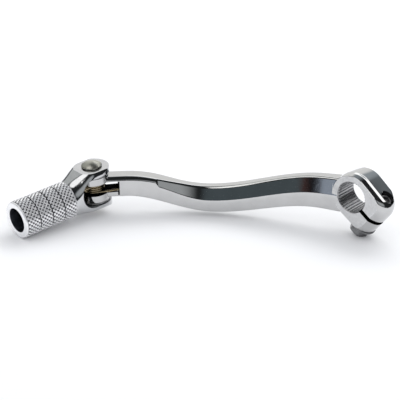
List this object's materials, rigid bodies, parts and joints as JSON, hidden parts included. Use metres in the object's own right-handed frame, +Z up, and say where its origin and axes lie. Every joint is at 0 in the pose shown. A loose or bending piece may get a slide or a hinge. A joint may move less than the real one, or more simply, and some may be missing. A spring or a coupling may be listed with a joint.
{
  "type": "motorcycle gear shift lever",
  "caption": "Gear shift lever: splined pinch clamp, curved and dipped polished arm, and a sprung folding tip with a ribbed, knurled toe grip.",
  "frame": {"origin": "centre of the splined bore at mid width of the clamp", "axes": "+Y along the splined bore towards the engine, +Z up as the lever lies on the table, the arm reaches towards -X and bows out towards -Y"},
  "size_m": [0.1292, 0.1167, 0.0316],
  "materials": {
    "polished_aluminium": "mirror polished forging",
    "turned_aluminium": "bright turned and knurled",
    "dark_steel": "dark plated",
    "bright_steel": "bright plated",
    "rivet_nickel": "dull nickel, faintly olive",
    "sleeve_bronze": "oiled bronze",
    "spring_wire": "golden passivated wire"
  },
  "bodies": {
    "lever": {"lever_arm": "polished_aluminium", "clamp_screw": "dark_steel", "upper_washer": "bright_steel", "lower_washer": "bright_steel", "return_spring": "spring_wire"},
    "tip": {"folding_tip": "turned_aluminium", "hinge_rivet": "rivet_nickel", "hinge_sleeve": "sleeve_bronze", "rivet_washer": "bright_steel", "wave_washer": "dark_steel"}
  },
  "joints": [
    {"name": "tip_fold", "type": "hinge", "parent": "lever", "child": "tip", "pos_m": [-0.098, -0.0678, -0.0023], "axis": [0, -0.0654, 0.9979], "range_deg": [0, 75], "stiffness_Nm_per_rad": 0.12, "springref_deg": -51.57, "deforming": ["return_spring"]}
  ]
}
